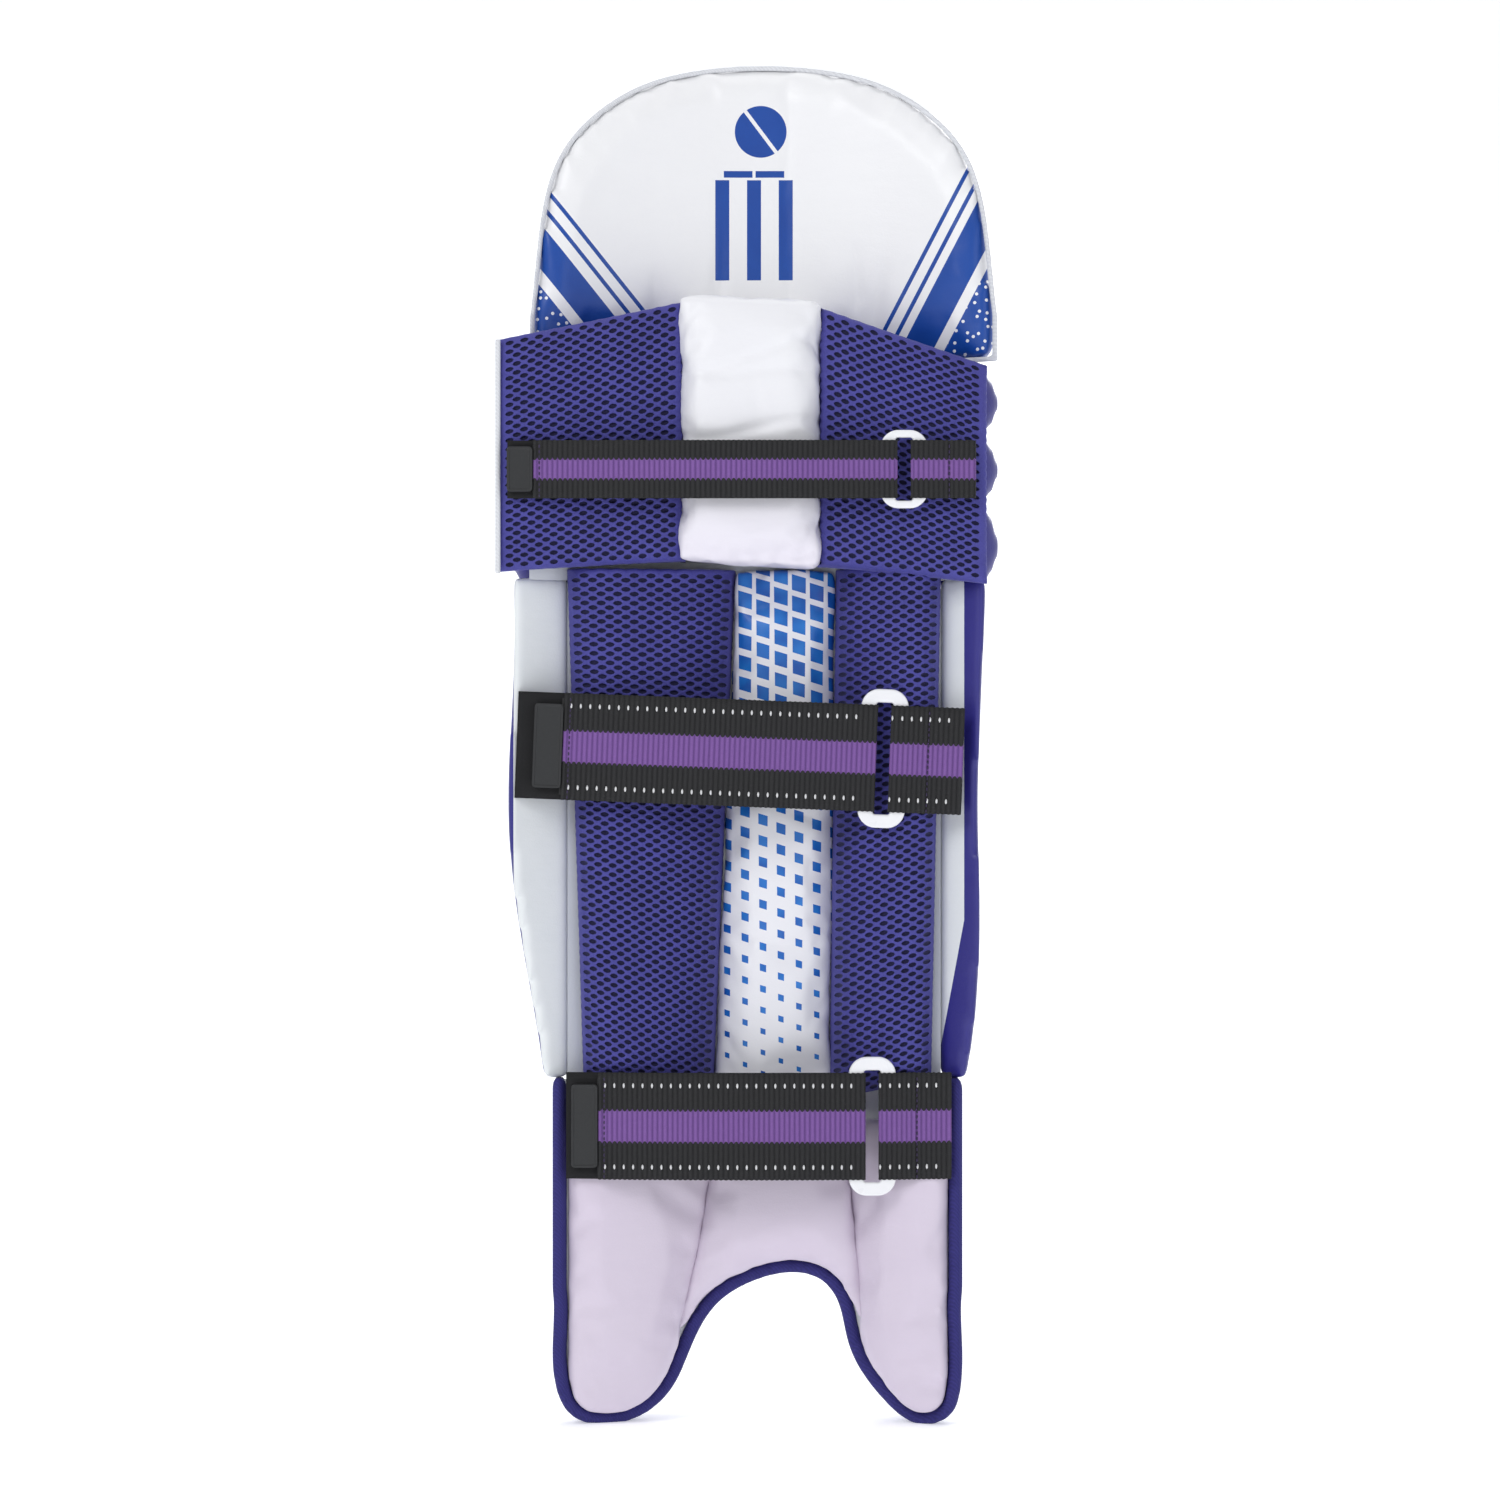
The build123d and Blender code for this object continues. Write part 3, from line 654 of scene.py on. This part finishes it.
tape = soft_copy(outer_skin("foot_binding"), 2.2 * mm, 2, 1.7 * mm)
trim_piece("foot_binding_tape", tape, navy_tape, ["foot_binding"])
cord = soft_copy(outer_skin("knee_bolster_piping"), 0.9 * mm, 2)
trim_piece("knee_piping", cord, pale_tape, ["knee_bolster_piping"])
cord = soft_copy(outer_skin("top_hat_piping"), 1.2 * mm, 2)
trim_piece("top_hat_edge", cord, pale_tape, ["top_hat_piping"], "top_hat")


# ---------------------------------------------------------------- top hat
# A foam panel above the knee, covered on the leg side in white coated cloth with a printed wicket and
# ball and printed bars in both lower corners. It is sewn to the knee along its bottom edge.
def hat_print(f, under):
    """The printed marks of the leg side, and the plain cover of the playing face."""
    x, y, z = f.axes(f.place)
    rise = (y - axis_y) * (y - axis_y) + (x - axis_x) * (x - axis_x)
    outside = rise > (board_radius + 9 * mm) ** 2
    navy = f.color(0.03, 0.026, 0.24).mix(f.noise(9), f.color(0.018, 0.015, 0.16))
    x = x - axis_x
    blue = f.color(0.003, 0.04, 0.26).mix(f.noise(25), f.color(0.004, 0.075, 0.38))
    flat = f.start.node("ShaderNodeCombineXYZ", None, {0: x, 1: z})
    dots = f.start.node("ShaderNodeTexVoronoi", {"voronoi_dimensions": "2D"},
                        {"Vector": flat, "Scale": 170.0, "Randomness": 0.75})
    bars = None
    sides = (
        (0.776, 0.63, ((365.3, 367.7), (357.3, 359.7), (334, 351)), 327.5),
        (-0.886, 0.464, ((232, 234.4), (224.2, 226.6), (202, 219.5)), 196),
    )
    for across, up, stripes, corner in sides:
        reach = x * across + z * up
        area = (reach < corner * mm) * (x * across < -0.04)
        mask = area * (dots > 0.16)
        for low, high in stripes:
            mask = mask + (reach > low * mm) * (reach < high * mm) * (x * across < -0.02)
        bars = mask if bars is None else bars + mask
    mark = None
    for centre in (-19 * mm, 0.0, 19 * mm):
        stump = (abs(x - centre) < 4.2 * mm) * (z > 0.682) * (z < 0.742)
        mark = stump if mark is None else mark + stump
    for centre in (-9.5 * mm, 9.5 * mm):
        mark = mark + (abs(x - centre) < 8.6 * mm) * (abs(z - 0.7455) < 2.0 * mm)
    ball_x, ball_z, ball_r = x - 4 * mm, z - 0.771, 15.5 * mm
    ball = (ball_x * ball_x + ball_z * ball_z) < ball_r * ball_r
    slant = ball_x * 0.8 + ball_z * 0.6
    mark = mark + ball * (abs(slant) > 1.1 * mm)
    printed = f.start.math("MINIMUM", bars + mark, 1.0)
    return under.mix(printed, blue).mix(outside, navy)


hat_cloth = coated_cloth("printed top hat cloth", (0.86, 0.86, 0.86), (0.8, 0.79, 0.8), 0.4, hat_print, 1.0)
hat_shape = soft_copy(outer_skin("top_hat_foam"), 4 * mm, 4, 3.2 * mm)
sewn_from = board_radius + 6 * mm
hat_shape = puffed(
    hat_shape, lambda p: math.hypot(p.x - axis_x, p.y - axis_y) > sewn_from, 3, 0.01, 5 * mm
)
hat_nodes = ["top_hat_face", "top_hat_foam", "top_hat_lining"]
padded_piece("top_hat_cover", hat_shape, [hat_cloth], hat_nodes, "top_hat")

# ---------------------------------------------------------------- straps
# Ribbed webbing, black with a purple middle band, and on the calf straps a row of white threads near each
# edge. The tongue hooks round the ring's left bar, and the anchor loops round its right bar.
rib_pitch, rib_height = 3.0 * mm, 0.38 * mm
webbing = 1.3 * mm
fold = 2.45 * mm  # from the middle of a ring's bar to the middle of the webbing
slot_to_slot = 13 * mm  # between the two folds' centres
thread_inset, thread_pitch = 7.5 * mm, 5.6 * mm


def webbing_finish(name, band):
    """UV is in metres: along the strap, and across it from its middle."""
    f = Finish(name)
    along, across, _ = f.axes(f.along)
    rib = f.start.math("SINE", along * (2 * math.pi / rib_pitch))
    edge = abs(across) + rib * 0.8 * mm
    fuzz = f.noise(900, 2)
    # The purple and the black are lighter on the rib crests, in step with the modelled ribs: painted light,
    # with random fuzz on top.
    purple = f.color(0.12, 0.05, 0.21).mix(rib * 0.5 + 0.5, f.color(0.22, 0.1, 0.35)).mix(
        fuzz * 0.35, f.color(0.09, 0.04, 0.2))
    black = f.color(0.005, 0.005, 0.006).mix(rib * 0.4 + 0.3 + fuzz * 0.2, f.color(0.018, 0.018, 0.019))
    yarns = f.start.math("SINE", across * (2 * math.pi / (1.1 * mm)))
    f.set(Roughness=0.82, Sheen_Weight=0.03)
    color = black.mix(edge < band / 2, purple)
    return f.paint(color, height=yarns * 0.5 + fuzz, depth=0.15 * mm, strength=0.5)


def plain_finish(name, light, dark, rough, scale, depth, coat=0.0):
    """One material with a fine random grain."""
    f = Finish(name)
    grain = f.noise(scale, 3)
    f.set(Coat_Weight=coat, Coat_Roughness=0.25)
    color = f.color(*light).mix(grain, f.color(*dark))
    return f.paint(color, f.noise(50) * 0.1 + (rough - 0.05), grain, depth, 0.4)


loop_tape = plain_finish("loop tape", (0.004, 0.004, 0.005), (0.01, 0.01, 0.011), 0.9, 1600, 0.4 * mm)
hook_tape = plain_finish("hook tape", (0.008, 0.008, 0.009), (0.02, 0.02, 0.02), 0.7, 2200, 0.5 * mm)
tab_rubber = plain_finish("tab rubber", (0.012, 0.013, 0.014), (0.018, 0.019, 0.02), 0.5, 700, 0.08 * mm)
ring_plastic = plain_finish("ring plastic", (0.88, 0.88, 0.89), (0.82, 0.82, 0.84), 0.28, 120, 0.1 * mm, 0.3)
white_thread = plain_finish("white thread", (0.8, 0.8, 0.8), (0.6, 0.6, 0.6), 0.6, 900, 0.1 * mm)
dark_thread = plain_finish("dark thread", (0.02, 0.015, 0.04), (0.05, 0.03, 0.09), 0.7, 900, 0.1 * mm)


class StrapLine:
    """A strap's line in plan, tilted with the strap, that webbing and threads follow."""

    def __init__(self, points, height, tilt):
        self.points, self.height, self.tilt = points, height, tilt
        self.lengths = [0.0]
        for a, b in zip(points, points[1:]):
            self.lengths.append(self.lengths[-1] + (b - a).length)
        self.length = self.lengths[-1]

    def at(self, s):
        """The point and the side direction, towards the leg, at a distance along the line."""
        s = min(max(s, 0), self.length)
        i = 1
        while i < len(self.lengths) - 1 and self.lengths[i] < s:
            i += 1
        a, b = self.points[i - 1], self.points[i]
        part = (s - self.lengths[i - 1]) / max(self.lengths[i] - self.lengths[i - 1], 1e-9)
        run = (b - a).normalized()
        return a.lerp(b, part), Vector((run.y, -run.x))

    def place(self, s, across, proud):
        """A point on the strap in the row frame."""
        point, side = self.at(s)
        point = point + side * proud
        x = point.x - axis_x
        turn, lift = math.cos(self.tilt), math.sin(self.tilt)
        return Vector((axis_x + x * turn + across * lift, point.y, self.height - x * lift + across * turn))


def webbing_piece(name, line, width, material, ribbed, body, stands_for):
    """A length of webbing along a line."""
    m = bmesh.new()
    step = rib_pitch / 6 if ribbed else 3 * mm
    count, wide = max(int(line.length / step), 8), 14
    bmesh.ops.create_grid(m, x_segments=count, y_segments=wide, size=0.5)
    uv = m.loops.layers.uv.new("UVMap")
    for face in m.faces:
        for loop in face.loops:
            loop[uv].uv = ((loop.vert.co.x + 0.5) * line.length, loop.vert.co.y * width)
    for vert in m.verts:
        s, t = (vert.co.x + 0.5) * line.length, vert.co.y
        wave = math.sin(2 * math.pi * s / rib_pitch) if ribbed else 0
        edge = min((0.5 - abs(t)) / 0.03, 1)
        proud = rib_height * (wave - 1) * edge - 0.25 * mm * (1 - edge)
        vert.co = line.place(s, t * width * (1 + 0.006 * wave), proud)
    piece = new_piece(name, m, [material], body)
    thick = piece.modifiers.new("thickness", "SOLIDIFY")
    thick.thickness = webbing * 0.85
    thick.offset = 0
    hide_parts(stands_for)


def threads(name, line, spots, size, material, body):
    """Short raised stitches at (along, across) spots on a line. size is along, across and proud."""
    m = bmesh.new()
    for s, across in spots:
        stitch = bmesh.ops.create_icosphere(m, subdivisions=1, radius=1)["verts"]
        centre = line.place(s, across, webbing / 2 - 0.1 * mm)
        along = (line.place(s + 0.5 * mm, across, 0) - line.place(s - 0.5 * mm, across, 0)).normalized()
        up = (line.place(s, across + mm, 0) - line.place(s, across, 0)).normalized()
        out = up.cross(along).normalized()
        turn = Matrix((along * size[0], up * size[1], out * size[2])).transposed().to_4x4()
        bmesh.ops.transform(m, matrix=Matrix.Translation(centre) @ turn, verts=stitch)
    bmesh.ops.recalc_face_normals(m, faces=m.faces)
    piece = new_piece(name, m, [material], body)


joints = {joint["name"]: joint for joint in frame["joints"]}
bands = {"knee": 12 * mm, "upper_calf": 19 * mm, "lower_calf": 19 * mm}
for strap, band in bands.items():
    peel, swing = joints[f"{strap}_tongue_peel"], joints[f"{strap}_anchor_swing"]
    bar, end = Vector(peel["pos_m"]), Vector(swing["pos_m"])
    lean = Vector(peel["axis"])
    tilt = math.atan2(lean.x, lean.z)
    reach = (bar.x - axis_x) / math.cos(tilt)
    height = bar.z + reach * math.sin(tilt)
    end_reach = (end.x - axis_x) / math.cos(tilt)
    base_low, base_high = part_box(f"{strap}_strap_base")
    tab_low, tab_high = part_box(f"{strap}_strap_pull_tab")
    width = 34 * mm if strap == "knee" else 63 * mm
    ribbed = webbing_finish(f"{strap} ribbed webbing", band)

    def line_along(node, left, right, count=24):
        """Points along the leg-side face of a CAD strip, at the strap's middle height."""
        tree, points = faces_of(node), []
        for i in range(count + 1):
            x = left + (right - left) * i / count
            z = height - (x - axis_x) * math.sin(tilt)
            y = leg_side(tree, x, z)
            if y is not None:
                points.append(Vector((axis_x + (x - axis_x) / math.cos(tilt), y + webbing / 2)))
        return points

    # The base strap is sewn at the left and runs behind the ring.
    points = line_along(f"{strap}_strap_base", base_low.x + 2 * mm, base_high.x - 2 * mm)
    base = StrapLine(points, height, tilt)
    webbing_piece(f"{strap}_base_tape", base, width, loop_tape, False, "shin_guard", f"{strap}_strap_base")

    # The tongue runs from its tab to the bar and folds round it.
    points = line_along(f"{strap}_strap_tongue", tab_high.x + 0.5 * mm, bar.x - 1.5 * mm)
    centre = Vector((axis_x + reach, bar.y))
    turns = [math.radians(degrees) for degrees in range(-90, 6, 12)]
    points += [centre + Vector((fold * math.cos(turn), fold * math.sin(turn))) for turn in turns]
    tongue = StrapLine(points, height, tilt)
    webbing_piece(f"{strap}_tongue_webbing", tongue, width, ribbed, True, f"{strap}_tongue",
                  f"{strap}_strap_tongue")

    # The anchor comes from its sewn end over the ring's right bar and back under itself.
    run = (Vector((axis_x + end_reach, end.y)) - centre).normalized()
    out = Vector((run.y, -run.x))
    bar_right = centre + run * slot_to_slot
    tail = (Vector((axis_x + end_reach, end.y)) - bar_right).length
    shape = [(tail, 0.75 * mm), (20 * mm, 0.75 * mm), (16 * mm, 1.5 * mm), (8.5 * mm, fold), (0.0, fold)]
    turns = [math.radians(degrees) for degrees in range(102, 259, 12)]
    shape += [(fold * math.cos(turn), fold * math.sin(turn)) for turn in turns]
    shape += [(0.0, -fold), (8.5 * mm, -fold), (16 * mm, -1.5 * mm), (19.5 * mm, -0.8 * mm)]
    anchor = StrapLine([bar_right + run * along + out * over for along, over in shape], height, tilt)
    anchor = StrapLine(anchor.points[::-1], height, tilt)
    webbing_piece(f"{strap}_anchor_webbing", anchor, width, ribbed, True, f"{strap}_anchor",
                  f"{strap}_strap_anchor")

    if strap != "knee":
        rows = (width / 2 - thread_inset, -width / 2 + thread_inset)
        size = (0.75 * mm, 1.7 * mm, 0.4 * mm)
        count = int((tongue.length - 8 * mm) / thread_pitch)
        spots = [(s * thread_pitch + 4 * mm, row) for row in rows for s in range(count)]
        threads(f"{strap}_tongue_threads", tongue, spots, size, white_thread, f"{strap}_tongue")
        first = anchor.length - tail - 2 * mm
        count = int((tail + 2 * mm) / thread_pitch)
        spots = [(first + s * thread_pitch, row) for row in rows for s in range(count)]
        threads(f"{strap}_anchor_threads", anchor, spots, size, white_thread, f"{strap}_anchor")
    rows = [(k + 0.5) * 3.2 * mm - width / 2 for k in range(int(width / (3.2 * mm)))]
    size = (0.5 * mm, 1.3 * mm, 0.45 * mm)
    spots = [(3.5 * mm, row) for row in rows]
    threads(f"{strap}_tongue_seam", tongue, spots, size, dark_thread, f"{strap}_tongue")
    spots = [(anchor.length - tail + 20 * mm, row) for row in rows]
    threads(f"{strap}_anchor_seam", anchor, spots, size, dark_thread, f"{strap}_anchor")

    # The pull tab is moulded over the tongue's end, with a raised rim.
    tab = bmesh.new()
    bmesh.ops.create_cube(tab, size=1)
    size = (tab_high.x - tab_low.x, tab_high.y - tab_low.y, tab_high.z - tab_low.z)
    bmesh.ops.scale(tab, vec=size, verts=tab.verts)
    upright = [e for e in tab.edges if abs(e.verts[0].co.y - e.verts[1].co.y) > size[1] / 2]
    bmesh.ops.bevel(tab, geom=upright, offset=2.2 * mm, segments=4, profile=0.5, affect="EDGES", material=-1)
    flat = [face for face in tab.faces if face.normal.y < -0.9]
    bmesh.ops.inset_region(tab, faces=flat, thickness=1.3 * mm)
    bmesh.ops.inset_region(tab, faces=flat, thickness=0.4 * mm, depth=-0.5 * mm)
    sharp = [e for e in tab.edges if len(e.link_faces) == 2 and e.calc_face_angle(0) > 0.6]
    bmesh.ops.bevel(tab, geom=sharp, offset=0.35 * mm, segments=2, profile=0.5, affect="EDGES", material=-1)
    bmesh.ops.rotate(tab, verts=tab.verts, matrix=Matrix.Rotation(tilt, 3, "Y"))
    bmesh.ops.translate(tab, verts=tab.verts, vec=(tab_low + tab_high) / 2)
    tab = new_piece(f"{strap}_tab", tab, [tab_rubber], f"{strap}_tongue", smooth=False)
    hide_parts(f"{strap}_strap_pull_tab")
    for node, material in ((f"{strap}_strap_ring", ring_plastic), (f"{strap}_strap_hook_patch", hook_tape)):
        nodes[node].data.materials.clear()
        nodes[node].data.materials.append(material)

# ---------------------------------------------------------------- inside and behind
# The board, its lining and canvas, and the canes keep their shapes.
canvas_finish = tape_finish("backing canvas", (0.03, 0.026, 0.22), (0.018, 0.015, 0.14))
board_finish = plain_finish("foam board", (0.75, 0.75, 0.72), (0.68, 0.68, 0.65), 0.8, 400, 0.3 * mm)
cane_finish = plain_finish("peeled cane", (0.55, 0.42, 0.24), (0.45, 0.33, 0.17), 0.45, 200, 0.2 * mm)
hidden_parts = {
    "back_lining": lining_cloth, "backing_canvas": canvas_finish,
    "shin_board": board_finish, "cane_rods": cane_finish,
}
for node, material in hidden_parts.items():
    nodes[node].data.materials.clear()
    nodes[node].data.materials.append(material)
